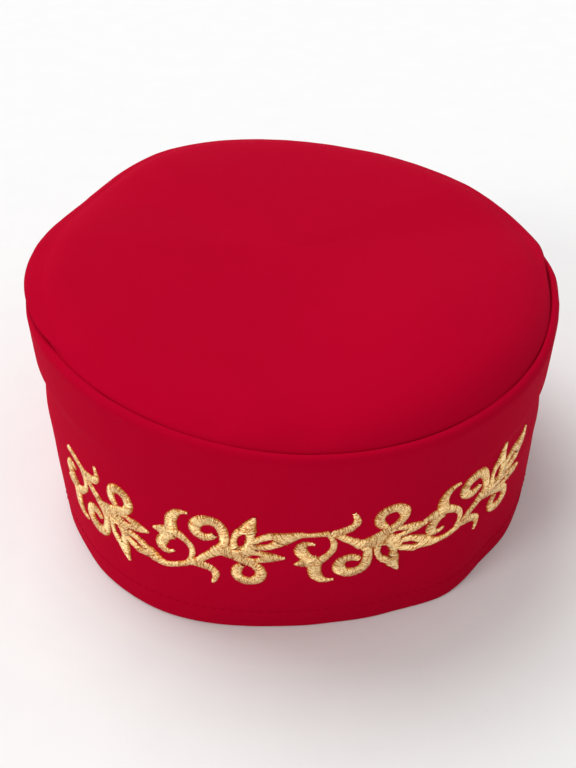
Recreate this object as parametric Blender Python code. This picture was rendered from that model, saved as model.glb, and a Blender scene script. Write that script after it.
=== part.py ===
"""Kufi cap: a soft, flat-topped cloth cap with a running vine embroidered across its front.

The cap is an oval band of doubled cloth with a domed oval crown sewn to its top edge.
It stands on its rim, with the front towards -Y, and the inside is hollow.
Four vine units lie on the front of the band, every second one turned upside down.
"""

import math

import bmesh
import bpy
from mathutils import Vector
from mathutils.geometry import delaunay_2d_cdt

MM = 0.001

# Driving dimensions of the cap
RIM_HALF_LENGTH = 0.0975
RIM_HALF_WIDTH = 0.0870
BROW_HALF_LENGTH = 0.1008
BROW_HALF_WIDTH = 0.0900
BROW_HEIGHT = 0.0749
SEAM_HEIGHT = 0.0778
SEAM_INSET = 0.0028
BROW_TILT_SIDE = -0.0037
BROW_TILT_FRONT = -0.0015
CLOTH_THICKNESS = 0.0020
SEAM_GAP = 0.0003

# Hem: the cloth is turned up inside the rim, which makes the wall thicker there
HEM_HEIGHT = 0.0080
HEM_EXTRA = 0.0008
RIM_ROUNDING = 0.0008

# Crown: the height that the top gains inwards from its seam, and over what distance
CROWN_RISE = 0.0068
CROWN_ROLL = 0.0100
CROWN_CLOTH = 0.0018

# The soft crease across each side of the band
CREASE_HEIGHT = 0.0590
CREASE_DEPTH = 0.0017
CREASE_REACH = 0.0065
CREASE_FROM_FRONT = math.radians(72)
CREASE_HALF_SPREAD = math.radians(44)

# Unevenness of the plan, as shares of the radius: (waves round the cap, cosine part, sine part)
BROW_LUMPS = [
    (3, 0.0080, -0.0017),
    (4, -0.0009, 0.0131),
    (5, -0.0037, -0.0035),
]
RIM_LUMPS = [
    (1, 0.0, 0.0103),
    (2, -0.0011, 0.0072),
    (3, 0.0163, -0.0034),
    (4, -0.0231, 0.0031),
    (5, -0.0037, -0.0035),
]

# Puckers along the crown seam: (degrees from the front, half width in degrees, depth in metres)
CROWN_PUCKERS = [
    (-30, 26, 0.0009),
    (3, 7, 0.0006),
    (52, 36, 0.0026),
    (-75, 14, -0.0009),
]

# Fineness of the faceted solids
SECTORS = 72
RIM_ANGLE = -math.pi / 2

# Vine embroidery
VINE_RELIEF = 0.0009
VINE_GAP = 0.0003
VINE_GRID = 0.0056
FRONT_HEIGHT = 0.0366

# Where each unit lies on the band: (start along the band from the front, stretch along, lean,
# height of its middle line, slope of that line, stretch upwards, bow along, bow upwards,
# 1 upright or -1 turned over)
VINE_UNIT_LENGTH = 0.045
VINE_UNITS = [
    (-0.0884, 0.992, 0.017, 0.0342, -0.020, 0.942, 0.0, 0.0, -1),
    (-0.0443, 0.983, -0.016, 0.0368, 0.032, 0.992, 0.0, 0.0, 1),
    (-0.0006, 1.003, -0.037, 0.0350, 0.127, 1.040, -0.0015, 0.0014, -1),
    (0.0408, 1.030, -0.150, 0.0420, 0.022, 1.020, 0.0, 0.0, 1),
]

# One vine unit, in millimetres along the band from the unit's start and above the vine's middle line.
# Each satin column is a row of (along, up, width); an eye is a bare gap inside a leaf.
VINE_COLUMNS = {
    "stem": [(1.8, -12.3, 2.4), (5.0, -11.8, 2.4), (9.0, -10.6, 2.0), (12.0, -9.1, 2.2),
             (15.0, -7.1, 2.4), (17.0, -5.1, 2.6), (20.0, -2.6, 3.2), (22.5, -0.8, 4.9),
             (27.0, -1.0, 6.3), (30.5, 0.2, 5.0), (33.0, 1.9, 4.5)],
    "tail": [(13.0, -8.8, 2.4), (16.2, -8.9, 3.4), (18.5, -9.6, 3.0), (20.0, -11.0, 2.8),
             (20.3, -12.4, 2.4), (19.9, -14.3, 1.8), (19.2, -15.9, 1.1)],
    "stalk": [(11.4, -9.0, 1.6), (12.6, -6.4, 1.6), (13.2, -4.0, 2.0), (12.8, -1.6, 2.2),
              (11.3, 0.4, 2.6), (9.0, 2.2, 3.5), (7.0, 3.0, 4.6)],
    "upper_petal": [(6.5, 2.9, 5.0), (6.6, 5.4, 4.2), (6.7, 7.4, 3.9), (7.2, 9.2, 3.6),
                    (8.8, 11.4, 2.6), (10.6, 12.4, 1.6), (12.8, 12.7, 0.7)],
    "middle_petal": [(7.0, 1.9, 5.0), (3.5, 1.8, 4.6), (1.5, 1.9, 2.2), (0.0, 1.8, 0.6)],
    "lower_petal": [(5.5, 1.4, 5.0), (4.0, -0.6, 3.8), (2.7, -2.8, 4.0), (2.5, -4.8, 3.8),
                    (3.7, -6.2, 2.6), (5.2, -6.3, 1.5), (6.9, -5.5, 0.6)],
    "scroll": [(22.0, -0.6, 3.2), (23.8, 2.4, 2.8), (24.0, 5.4, 3.0), (23.5, 8.6, 3.4),
               (22.0, 10.9, 3.7), (19.7, 11.5, 3.8), (17.0, 10.8, 3.8), (15.0, 8.7, 3.9),
               (14.8, 6.2, 3.7), (16.1, 4.4, 3.2), (18.0, 4.0, 2.9), (19.8, 4.6, 2.4), (21.0, 5.7, 1.9)],
    "upper_leaf": [(27.4, 1.6, 4.6), (29.2, 4.6, 6.4), (30.4, 7.4, 6.9), (31.3, 10.4, 5.3),
                   (32.5, 13.2, 3.0), (33.7, 15.9, 0.8)],
    "long_leaf": [(31.0, 3.0, 4.6), (33.0, 3.9, 5.0), (36.0, 4.6, 5.8), (39.0, 5.9, 6.8),
                  (41.6, 7.0, 6.0), (43.6, 8.0, 4.2)],
    "lower_leaf": [(28.0, -1.8, 4.0), (32.0, -1.7, 5.4), (36.0, -1.5, 5.6), (39.0, -1.7, 3.9),
                   (40.8, -1.7, 2.1), (41.8, -1.7, 0.8)],
    "loop": [(27.0, -2.6, 3.5), (30.0, -4.6, 3.0), (32.5, -5.6, 3.2), (34.4, -8.0, 3.4),
             (34.7, -10.6, 3.6), (33.3, -12.9, 3.6), (30.7, -13.8, 3.4), (28.1, -12.8, 3.4),
             (27.0, -10.6, 3.2), (27.5, -8.0, 3.0), (29.0, -6.4, 2.0)],
}
VINE_LAST_TIP = [(42.0, 7.2, 5.8), (44.5, 8.2, 3.6), (47.0, 9.0, 2.2), (49.5, 9.6, 0.8)]
VINE_EYES = {
    "upper_eye": [(27.6, 2.2, 0.4), (29.0, 4.5, 1.6), (30.0, 6.8, 1.9), (30.5, 8.0, 0.8)],
    "long_eye": [(34.5, 3.9, 0.3), (36.6, 4.8, 1.5), (38.4, 5.6, 1.7), (39.8, 6.3, 0.6)],
    "lower_eye": [(29.2, -1.7, 0.3), (31.6, -1.4, 1.2), (33.8, -1.3, 1.7), (35.4, -1.2, 0.7)],
}
COLUMN_STEP = 2.4

# Colours from the cap: deep red cloth and gold thread
RED_CLOTH = (0.48, 0.004, 0.022, 1.0)
GOLD_THREAD = (0.66, 0.38, 0.14, 1.0)


def clear_scene():
    for thing in list(bpy.data.objects):
        bpy.data.objects.remove(thing)


def smooth_step(share):
    share = min(1.0, max(0.0, share))
    return share * share * (3 - 2 * share)


def bump(distance, half_width):
    """A smooth hill of height 1 that reaches zero at half_width."""
    return smooth_step(1 - abs(distance) / half_width)


def from_front(angle):
    """Signed angle from the front, -180 to 180 degrees, positive towards +X."""
    return (angle - RIM_ANGLE + math.pi) % (2 * math.pi) - math.pi


def oval_radius(half_length, half_width, lumps, angle):
    radius = 1 / math.hypot(math.cos(angle) / half_width, math.sin(angle) / half_length)
    share = sum(c * math.cos(n * angle) + s * math.sin(n * angle) for n, c, s in lumps)
    return radius * (1 + share)


def rim_radius(angle):
    return oval_radius(RIM_HALF_LENGTH, RIM_HALF_WIDTH, RIM_LUMPS, angle)


def brow_radius(angle):
    return oval_radius(BROW_HALF_LENGTH, BROW_HALF_WIDTH, BROW_LUMPS, angle)


def brow_tilt(angle):
    """How far the top edge of the band rides up or down round the cap."""
    return BROW_TILT_SIDE * math.cos(angle) + BROW_TILT_FRONT * -math.sin(angle)


def plan_centre():
    """Centre of the box round the cap's widest outline, so that the origin can sit under it."""
    turns = [2 * math.pi * i / 720 for i in range(720)]
    xs = [brow_radius(t) * math.cos(t) for t in turns]
    ys = [brow_radius(t) * math.sin(t) for t in turns]
    return (min(xs) + max(xs)) / 2, (min(ys) + max(ys)) / 2


CENTRE = plan_centre()


def crease_depth(angle, height):
    spread = bump(abs(from_front(angle)) - CREASE_FROM_FRONT, CREASE_HALF_SPREAD)
    above = height - CREASE_HEIGHT
    reach = CREASE_REACH if above > 0 else 4 * CREASE_REACH
    return CREASE_DEPTH * spread * bump(above, reach)


def wall_radius(angle, height):
    """Outer radius of the band at a height that runs from 0 at the rim to BROW_HEIGHT at the brow."""
    share = height / BROW_HEIGHT
    radius = rim_radius(angle) * (1 - share) + brow_radius(angle) * share
    return radius - crease_depth(angle, height)


def place(angle, radius, height):
    """A point of the cap, with the band's upper edge tilted as the cloth sits."""
    lift = brow_tilt(angle) * smooth_step(min(height, BROW_HEIGHT) / BROW_HEIGHT)
    return Vector((radius * math.cos(angle) - CENTRE[0], radius * math.sin(angle) - CENTRE[1], height + lift))


def outer_profile(angle):
    """Outer face of the band from the rim to the seam, as (radius, height)."""
    heights = [RIM_ROUNDING, HEM_HEIGHT, 0.022, 0.036, 0.048, 0.056, CREASE_HEIGHT, 0.062, 0.068, BROW_HEIGHT]
    points = [(wall_radius(angle, 0) - RIM_ROUNDING, 0.0)]
    points += [(wall_radius(angle, h), h) for h in heights]
    for step in (1, 2, 3):
        turn = math.pi / 2 * step / 3
        inset = SEAM_INSET * (1 - math.cos(turn))
        rise = (SEAM_HEIGHT - BROW_HEIGHT) * math.sin(turn)
        points.append((brow_radius(angle) - inset, BROW_HEIGHT + rise))
    return points


def inner_profile(angle):
    """Inner face of the band from the seam down to the rim, past the thicker turned hem."""
    points = [(brow_radius(angle) - SEAM_INSET - CLOTH_THICKNESS, SEAM_HEIGHT - 0.0012)]
    for height in (0.070, 0.058, 0.044, 0.026, HEM_HEIGHT + 0.0012):
        points.append((wall_radius(angle, height) - CLOTH_THICKNESS, height))
    thick = CLOTH_THICKNESS + HEM_EXTRA
    points.append((wall_radius(angle, HEM_HEIGHT) - thick, HEM_HEIGHT))
    points.append((wall_radius(angle, 0) - thick, 0.0))
    return points


def mesh_object(name, mesh, material):
    """Links a bmesh as an object whose faces point outwards."""
    bmesh.ops.recalc_face_normals(mesh, faces=mesh.faces)
    data = bpy.data.meshes.new(name)
    mesh.to_mesh(data)
    mesh.free()
    data.materials.append(material)
    data.shade_smooth()
    data.set_sharp_from_angle(angle=math.radians(40))
    made = bpy.data.objects.new(name, data)
    bpy.context.scene.collection.objects.link(made)
    return made


def cloth_material(name, colour, roughness, metallic):
    material = bpy.data.materials.new(name)
    material.use_nodes = True
    shader = material.node_tree.nodes["Principled BSDF"]
    shader.inputs["Base Color"].default_value = colour
    shader.inputs["Roughness"].default_value = roughness
    shader.inputs["Metallic"].default_value = metallic
    material.diffuse_color = colour
    return material


def join_rings(mesh, rings, closed):
    """Quads between neighbouring rings of the same count, and from the last to the first if closed."""
    pairs = list(zip(rings, rings[1:]))
    if closed:
        pairs.append((rings[-1], rings[0]))
    for below, above in pairs:
        count = len(below)
        for i in range(count):
            j = (i + 1) % count
            mesh.faces.new((below[i], below[j], above[j], above[i]))


def sector_angles():
    return [2 * math.pi * i / SECTORS for i in range(SECTORS)]


def side_band(material):
    """The band: an oval wall of doubled cloth, rolled in at the brow and turned up at the hem."""
    mesh = bmesh.new()
    columns = [[place(a, r, h) for r, h in outer_profile(a) + inner_profile(a)] for a in sector_angles()]
    rings = [[mesh.verts.new(point) for point in ring] for ring in zip(*columns)]
    join_rings(mesh, rings, closed=True)
    return mesh_object("side_band", mesh, material)


def pucker(angle):
    degrees = math.degrees(from_front(angle))
    return sum(depth * bump(degrees - at, half) for at, half, depth in CROWN_PUCKERS)


def crown_height(angle, inwards):
    """Height of the crown above its seam, a distance inwards from it."""
    roll = 1 - math.exp(-inwards / CROWN_ROLL)
    dip = pucker(angle) * math.exp(-(((inwards - 0.006) / 0.009) ** 2)) * smooth_step(inwards / 0.003)
    return CROWN_RISE * roll - dip


def crown(material):
    """The crown: a soft oval dome of cloth, open below, whose edge meets the top of the band."""
    mesh = bmesh.new()
    angles = sector_angles()
    edge = [brow_radius(a) - SEAM_INSET for a in angles]

    def ring(inwards, below):
        points = []
        for angle, radius in zip(angles, edge):
            height = SEAM_HEIGHT + SEAM_GAP + crown_height(angle, inwards) - below
            point = place(angle, radius - inwards, BROW_HEIGHT)
            point.z += height - BROW_HEIGHT
            points.append(mesh.verts.new(point))
        return points

    outer_steps = [0.0, 0.0022, 0.005, 0.009, 0.015, 0.024, 0.040, 0.062]
    inner_steps = [0.062, 0.036, 0.018, 0.008, 0.0030]
    outside = [ring(step, 0.0) for step in outer_steps]
    inside = [ring(step, CROWN_CLOTH) for step in inner_steps]
    join_rings(mesh, outside, closed=False)
    join_rings(mesh, inside, closed=False)
    lip = ring(0.0012, 0.0004)
    join_rings(mesh, [inside[-1], lip, outside[0]], closed=False)
    top = SEAM_HEIGHT + SEAM_GAP + CROWN_RISE
    for ring_verts, height in ((outside[-1], top), (inside[0], top - CROWN_CLOTH)):
        middle = mesh.verts.new((-CENTRE[0], -CENTRE[1], height))
        for i, vert in enumerate(ring_verts):
            mesh.faces.new((vert, ring_verts[(i + 1) % SECTORS], middle))
    return mesh_object("crown", mesh, material)


def smooth_route(rows):
    """Rows of (along, up, width) read at even steps from a smooth curve through them."""
    points = [Vector(row) for row in rows]
    points = [points[0] * 2 - points[1]] + points + [points[-1] * 2 - points[-2]]
    route = []
    for a, b, c, d in zip(points, points[1:], points[2:], points[3:]):
        steps = max(1, round((c - b).length / COLUMN_STEP))
        for i in range(steps):
            t = i / steps
            value = 2 * b + (c - a) * t + (2 * a - 5 * b + 4 * c - d) * t ** 2
            route.append((value + (3 * b - a - 3 * c + d) * t ** 3) / 2)
    return route + [points[-2]]


def column_quads(rows):
    """A satin column as a chain of flat quads, each a list of four (along, up) corners."""
    route = smooth_route(rows)
    sides = []
    for i, here in enumerate(route):
        ahead = route[min(i + 1, len(route) - 1)] - route[max(i - 1, 0)]
        across = Vector((-ahead.y, ahead.x)).normalized() * here.z / 2
        sides.append(((here.x + across.x, here.y + across.y), (here.x - across.x, here.y - across.y)))
    return [[a[1], b[1], b[0], a[0]] for a, b in zip(sides, sides[1:])]


def vine_triangles(extra_columns):
    """The flat outline of a unit as triangles: every column joined, less the eyes of the leaves."""
    points, faces, is_eye = [], [], []
    satin = list(VINE_COLUMNS.values()) + extra_columns
    for columns, eye in ((satin, False), (list(VINE_EYES.values()), True)):
        for rows in columns:
            for quad in column_quads(rows):
                faces.append(list(range(len(points), len(points) + 4)))
                points += [Vector(corner) for corner in quad]
                is_eye.append(eye)
    edges = []
    for i in range(-1, 11):
        along = i * VINE_GRID / MM
        edges.append((len(points), len(points) + 1))
        points += [Vector((along, -20)), Vector((along, 20))]
    verts, _, tris, _, _, sources = delaunay_2d_cdt(points, edges, faces, 1, 1e-4)
    kept = [tri for tri, held in zip(tris, sources) if held and not any(is_eye[f] for f in held)]
    return verts, largest_piece(kept)


def largest_piece(triangles):
    """The triangles that hang together by their edges with the most others."""
    by_edge = {}
    for index, tri in enumerate(triangles):
        for a, b in zip(tri, tri[1:] + tri[:1]):
            by_edge.setdefault(frozenset((a, b)), []).append(index)
    seen, best = set(), []
    for start in range(len(triangles)):
        if start in seen:
            continue
        group, waiting = [], [start]
        seen.add(start)
        while waiting:
            index = waiting.pop()
            group.append(index)
            tri = triangles[index]
            for a, b in zip(tri, tri[1:] + tri[:1]):
                for other in by_edge[frozenset((a, b))]:
                    if other not in seen:
                        seen.add(other)
                        waiting.append(other)
        if len(group) > len(best):
            best = group
    return [triangles[i] for i in best]


def front_angles():
    """Pairs of (distance along the band from the front, angle), half way up the vine."""
    step = math.radians(0.25)
    pairs = []
    for side in (-1, 1):
        angle, along = RIM_ANGLE, 0.0
        while abs(along) < 0.12:
            here = place(angle, wall_radius(angle, FRONT_HEIGHT), 0)
            there = place(angle + side * step, wall_radius(angle + side * step, FRONT_HEIGHT), 0)
            pairs.append((along, angle))
            along += side * (there - here).length
            angle += side * step
    return sorted(set(pairs))


FRONT_ANGLES = front_angles()


def angle_at(along):
    for (s0, a0), (s1, a1) in zip(FRONT_ANGLES, FRONT_ANGLES[1:]):
        if s0 <= along <= s1:
            return a0 + (a1 - a0) * (along - s0) / (s1 - s0)
    raise ValueError("the vine runs past the front of the band")


def on_band(along, height, out):
    """A point a distance out from the band's face, at a distance along the band from the front."""
    angle = angle_at(along)
    return place(angle, wall_radius(angle, height) + out, height)


def vine_unit(name, placing, outline, material):
    """One unit of the vine as a raised satin body that follows the band's curve."""
    start, stretch_along, lean, middle, slope, stretch_up, bow_along, bow_up, upright = placing
    corners, triangles = outline
    used = sorted({i for tri in triangles for i in tri})
    spots = {}
    for i in used:
        along, up = corners[i].x * MM, corners[i].y * MM * upright
        share = along / VINE_UNIT_LENGTH
        bow = 4 * share * (1 - share)
        spots[i] = (start + stretch_along * along + lean * up + bow * bow_along,
                    middle + slope * along + stretch_up * up + bow * bow_up)
    mesh = bmesh.new()
    layers = []
    for out in (VINE_GAP, VINE_GAP + VINE_RELIEF):
        layers.append({i: mesh.verts.new(on_band(*spots[i], out)) for i in used})
    count = {}
    for tri in triangles:
        mesh.faces.new([layers[1][i] for i in tri])
        mesh.faces.new([layers[0][i] for i in reversed(tri)])
        for a, b in zip(tri, tri[1:] + tri[:1]):
            count.setdefault(frozenset((a, b)), []).append((a, b))
    for uses in count.values():
        if len(uses) == 1:
            a, b = uses[0]
            mesh.faces.new((layers[0][a], layers[0][b], layers[1][b], layers[1][a]))
    return mesh_object(name, mesh, material)


def main():
    clear_scene()
    cloth = cloth_material("red_cloth", RED_CLOTH, 0.85, 0.0)
    thread = cloth_material("gold_thread", GOLD_THREAD, 0.40, 0.6)
    pieces = [side_band(cloth), crown(cloth)]
    for number, placing in enumerate(VINE_UNITS, 1):
        tip = [VINE_LAST_TIP] if number == len(VINE_UNITS) else []
        pieces.append(vine_unit(f"vine_unit_{number}", placing, vine_triangles(tip), thread))
    cap = bpy.data.objects.new("kufi_cap", None)
    bpy.context.scene.collection.objects.link(cap)
    for piece in pieces:
        piece.parent = cap


main()
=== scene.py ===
# %% [markdown]
# # A kufi cap: red cloth and a gold satin vine
#
# A kufi is a soft cap with a flat top. This one is sewn from two pieces of cloth: an oval crown
# and an upright band. A running vine is embroidered in gold thread across the front of the band.
# The lesson builds it in the order in which a cap maker works: cloth first, then the hem, then
# the embroidery. The CAD frame is loaded first, because every piece has to lie where its solid is.

# %% Load the frame
import math

import bmesh
import bpy
from mathutils import Matrix, Vector, noise


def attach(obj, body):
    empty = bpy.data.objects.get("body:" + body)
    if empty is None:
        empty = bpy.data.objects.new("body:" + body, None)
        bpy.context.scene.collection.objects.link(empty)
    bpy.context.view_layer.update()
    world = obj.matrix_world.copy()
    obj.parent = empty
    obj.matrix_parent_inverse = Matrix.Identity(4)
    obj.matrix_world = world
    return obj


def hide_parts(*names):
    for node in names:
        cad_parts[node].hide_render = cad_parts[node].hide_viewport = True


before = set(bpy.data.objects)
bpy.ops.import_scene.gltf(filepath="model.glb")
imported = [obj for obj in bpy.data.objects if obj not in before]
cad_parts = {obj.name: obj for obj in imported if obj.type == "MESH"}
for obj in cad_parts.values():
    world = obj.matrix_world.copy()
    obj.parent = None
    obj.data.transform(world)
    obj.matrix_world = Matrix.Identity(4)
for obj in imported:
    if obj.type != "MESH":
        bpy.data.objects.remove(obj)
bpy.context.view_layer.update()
MM = 0.001
print("frame nodes:", sorted(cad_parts))

# %% [markdown]
# ## The camera
#
# The photograph looks down on the front of the cap from about 37 degrees. A camera can be placed
# by eye or with a Track To constraint, but here its three axes are worked out as vectors. That way
# the elevation, the distance and the slight roll each stay a number of their own.

# %% Place the camera
CAMERA_ELEVATION = 0.6485
CAMERA_DISTANCE = 0.4113
CAMERA_ROLL = 0.0044
CAMERA_TARGET = Vector((-0.00246, 0.0, 0.026))
CAMERA_LENS = 51.575


def in_scene(name, data):
    """A new object of this data, linked into the scene."""
    made = bpy.data.objects.new(name, data)
    bpy.context.scene.collection.objects.link(made)
    return made


def photo_camera():
    view = Vector((0, math.cos(CAMERA_ELEVATION), -math.sin(CAMERA_ELEVATION)))
    level_up = Vector((1, 0, 0)).cross(view)
    across = Vector((1, 0, 0)) * math.cos(CAMERA_ROLL) + level_up * math.sin(CAMERA_ROLL)
    upwards = across.cross(view)
    turn = Matrix((across, upwards, -view)).transposed().to_4x4()
    data = bpy.data.cameras.new("photo_camera")
    data.lens = CAMERA_LENS
    data.sensor_width = 36
    data.clip_start = 0.01
    camera = in_scene("photo_camera", data)
    camera.matrix_world = Matrix.Translation(CAMERA_TARGET - view * CAMERA_DISTANCE) @ turn
    bpy.context.scene.camera = camera
    return camera


camera = photo_camera()
print("camera stands at", [round(c, 4) for c in camera.matrix_world.translation])

# %% [markdown]
# ## Studio light and floor
#
# The photograph has one large soft light high above the cap, behind it and to the left, a weaker
# one low at the front left, and plenty of white light from all round. Area lights would do, but
# they leave the far floor grey. Sun lights with a wide angle are as soft and reach everywhere. A
# third, small and weak, only draws the glints on the gold. The white world is brighter in
# reflections than it is as light, so that the gold shines while the cloth stays matt. The Standard
# view transform keeps the saturated red as it is, where a filmic one would pale it. Three small
# helpers build this world out of nodes. Every material and every tree below uses them again.

# %% Light the studio
WORLD_STRENGTH = 0.52
WORLD_SHINE = 0.54
# Lights: (direction towards the light, width in degrees, strength)
LIGHTS = {
    "key_light": ((-0.35, 0.45, 0.82), 46, 1.82),
    "fill_light": ((-0.62, -0.50, 0.42), 20, 0.80),
    "glint_light": ((-0.12, -0.62, 0.78), 3, 0.16),
}


def wire(tree, node, inputs):
    """Gives each named input of a node its value, or a link where a socket is given."""
    for label, value in inputs.items():
        if isinstance(value, bpy.types.NodeSocket):
            tree.links.new(value, node.inputs[label])
        else:
            node.inputs[label].default_value = value
    return node


def add_node(tree, kind, inputs):
    return wire(tree, tree.nodes.new(kind), inputs)


def math_node(tree, operation, *values):
    node = tree.nodes.new("ShaderNodeMath")
    node.operation = operation
    return wire(tree, node, dict(enumerate(values))).outputs[0]


def studio_world():
    world = bpy.data.worlds.new("studio")
    world.use_nodes = True
    tree = world.node_tree
    tree.nodes.clear()
    path = tree.nodes.new("ShaderNodeLightPath").outputs
    shine = math_node(tree, "MULTIPLY_ADD", path["Is Glossy Ray"], WORLD_SHINE, WORLD_STRENGTH)
    lit = add_node(tree, "ShaderNodeBackground", {"Color": (1, 1, 1, 1), "Strength": shine})
    seen = add_node(tree, "ShaderNodeBackground", {"Color": (1, 1, 1, 1)})
    shaders = {1: lit.outputs["Background"], 2: seen.outputs["Background"]}
    mix = add_node(tree, "ShaderNodeMixShader", {"Fac": path["Is Camera Ray"], **shaders})
    add_node(tree, "ShaderNodeOutputWorld", {"Surface": mix.outputs["Shader"]})
    bpy.context.scene.world = world


def soft_light(name, direction, width, strength):
    data = bpy.data.lights.new(name, "SUN")
    data.angle = math.radians(width)
    data.energy = strength
    lamp = in_scene(name, data)
    direction = Vector(direction).normalized()
    turn = direction.to_track_quat("Z", "Y").to_matrix().to_4x4()
    lamp.matrix_world = Matrix.Translation(CAMERA_TARGET + direction) @ turn
    return lamp


studio_world()
for name, setting in LIGHTS.items():
    lamp = soft_light(name, *setting)
    print(name, "stands towards", [round(c, 2) for c in lamp.matrix_world.translation])
bpy.context.scene.view_settings.view_transform = "Standard"

# %% [markdown]
# The cap stands on a wide sheet of white paper. A floor can be a grown mesh or a curved backdrop,
# but one big square is enough here, because the white world behind it hides its far edge. A faint
# noise in its colour keeps it from looking like an empty page. The two material helpers serve the
# cloth and the gold too, because every surface here mixes a deep and a light tone.

# %% Lay the floor
FLOOR_HALF = 3.0
PAPER_GRAIN = 60
PAPER_DEEP = (0.83, 0.83, 0.83, 1)
PAPER_LIGHT = (0.86, 0.86, 0.86, 1)
PAPER_FINISH = {"Roughness": 0.9, "Specular IOR Level": 0.1}


def new_material(name, finish):
    """A material, its tree and its shader, with the finish set on the shader."""
    material = bpy.data.materials.new(name)
    material.use_nodes = True
    tree = material.node_tree
    return material, tree, wire(tree, tree.nodes["Principled BSDF"], finish)


def two_tones(tree, shader, share, deep, light):
    tone = tree.nodes.new("ShaderNodeMix")
    tone.data_type = "RGBA"
    wire(tree, tone, {"Factor": share, "A": deep, "B": light})
    wire(tree, shader, {"Base Color": tone.outputs["Result"]})


def paper_material():
    material, tree, shader = new_material("white_paper", PAPER_FINISH)
    spot = tree.nodes.new("ShaderNodeTexCoord").outputs["Object"]
    grain = add_node(tree, "ShaderNodeTexNoise", {"Vector": spot, "Scale": PAPER_GRAIN})
    two_tones(tree, shader, grain.outputs["Fac"], PAPER_DEEP, PAPER_LIGHT)
    return material


def lay_floor():
    data = bpy.data.meshes.new("floor")
    half = FLOOR_HALF
    corners = [(-half, -half, 0), (half, -half, 0), (half, half, 0), (-half, half, 0)]
    data.from_pydata(corners, [], [(0, 1, 2, 3)])
    data.materials.append(paper_material())
    floor = in_scene("floor", data)
    return floor


floor = lay_floor()
print("floor:", 2 * FLOOR_HALF, "m square")

# %% [markdown]
# ## The plan of the cap
#
# Seen from above, the cap is an oval, longer from front to back, as a head is. Soft cloth never
# keeps a perfect oval, so a few slow waves are added to its radius. The rim and the brow, which is
# the top of the band, each have their own oval, and the wall runs straight from one to the other.
# Where the soft cloth has kept a corner or sags, a low hill is added, from a table with a row for
# each. Curves would do as well, but a function of the angle gives any number of points from few
# sizes.

# %% Plan shape
FRONT = -math.pi / 2
RIM_OVAL = (0.0870, 0.0975)
BROW_OVAL = (0.0900, 0.1008)
BROW_HEIGHT = 0.0749
SEAM_HEIGHT = 0.0778
SEAM_INSET = 0.0028
BROW_TILT = (-0.0037, 0.0015)
# Waves of the radius: (number round the cap, cosine part, sine part)
BROW_WAVES = [(3, 0.0080, -0.0017), (4, -0.0009, 0.0131), (5, -0.0037, -0.0035)]
RIM_WAVES = [(1, 0.0, 0.0103), (2, -0.0011, 0.0072), (3, 0.0163, -0.0034), (4, -0.0231, 0.0031),
             (5, -0.0037, -0.0035)]
# Corners that the soft rim has kept: (degrees from the front, half width, how far out)
RIM_CORNERS = [(31, 13, 0.0027), (18, 12, 0.0008), (47, 8, -0.0004), (-26, 24, 0.0014),
               (-52, 11, -0.0006), (-78, 15, 0.0007), (75, 15, 0.0011)]
RIM_CORNER_HEIGHT = 0.024
BROW_CORNERS = [(92, 24, 0.0008), (-102, 20, 0.0006)]
# Where the seam sags: (degrees from the front, half width, how far down)
SEAM_SAGS = [(180, 70, 0.0027), (-120, 30, 0.0030), (134, 26, 0.0009), (112, 24, 0.0024)]
# Angles all the way round in half degrees
FINE_TURNS = [2 * math.pi * i / 720 for i in range(720)]


def smooth_step(share):
    share = min(1.0, max(0.0, share))
    return share * share * (3 - 2 * share)


def hill(distance, half_width):
    return smooth_step(1 - abs(distance) / half_width)


def oval(half_axes, waves, angle):
    radius = 1 / math.hypot(math.cos(angle) / half_axes[0], math.sin(angle) / half_axes[1])
    return radius * (1 + sum(c * math.cos(n * angle) + s * math.sin(n * angle) for n, c, s in waves))


def brow_radius(angle):
    return oval(BROW_OVAL, BROW_WAVES, angle)


def rim_radius(angle):
    return oval(RIM_OVAL, RIM_WAVES, angle)


def from_front(angle):
    return (angle - FRONT + math.pi) % (2 * math.pi) - math.pi


def sum_of_hills(table, angle):
    total = 0.0
    for at, half, size in table:
        away = (math.degrees(from_front(angle)) - at + 180) % 360 - 180
        total += size * hill(away, half)
    return total


def plan_centre():
    xs = [brow_radius(turn) * math.cos(turn) for turn in FINE_TURNS]
    ys = [brow_radius(turn) * math.sin(turn) for turn in FINE_TURNS]
    return Vector(((min(xs) + max(xs)) / 2, (min(ys) + max(ys)) / 2, 0))


CENTRE = plan_centre()
print("brow is", round(2000 * BROW_OVAL[0]), "by", round(2000 * BROW_OVAL[1]), "mm")

# %% [markdown]
# ## How the cloth of the band hangs
#
# A band of doubled cloth stands up by itself, but it gives a little at the sides, where a soft
# crease runs along it below the seam. Broad noise adds the unevenness that any sewn cloth has.
# This could be simulated. A sum of small named effects is used instead, because each one can be
# set against the photograph by itself and the result is the same in every run.

# %% Band surface
CREASE_HEIGHT = 0.0564
CREASE_DEPTH = 0.0023
CREASE_ABOVE = 0.0042
CREASE_BELOW = 0.0168
CREASE_ANGLE = math.radians(72)
CREASE_SPREAD = math.radians(44)
HEM_LINE = 0.0080
# Unevenness of the cloth: (how far out, length of its waves, which part of the noise)
WAVERS = [(0.00035, 0.034, Vector((3.1, 0.4, 7.7))), (0.000105, 0.013, Vector((8.2, 1.4, 2.7)))]
WAVER_SQUEEZE = 1.3
# Puckers and grooves beside a seam: (how far out, reach)
SEAM_GATHER = (0.00016, 0.006)
HEM_GATHER = (0.000096, 0.0030)
HEM_GROOVE = (-0.00007, 0.0007)
BACK_SEAM = (-0.0005, 0.0007)
# Sizes of puckers: (how many round the cap, how strong)
PUCKERS = [(7.5, 0.7), (15.0, 0.5)]


def crease(angle, height):
    spread = hill(abs(from_front(angle)) - CREASE_ANGLE, CREASE_SPREAD)
    away = height - CREASE_HEIGHT
    return CREASE_DEPTH * spread * hill(away, CREASE_ABOVE if away > 0 else CREASE_BELOW)


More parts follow.
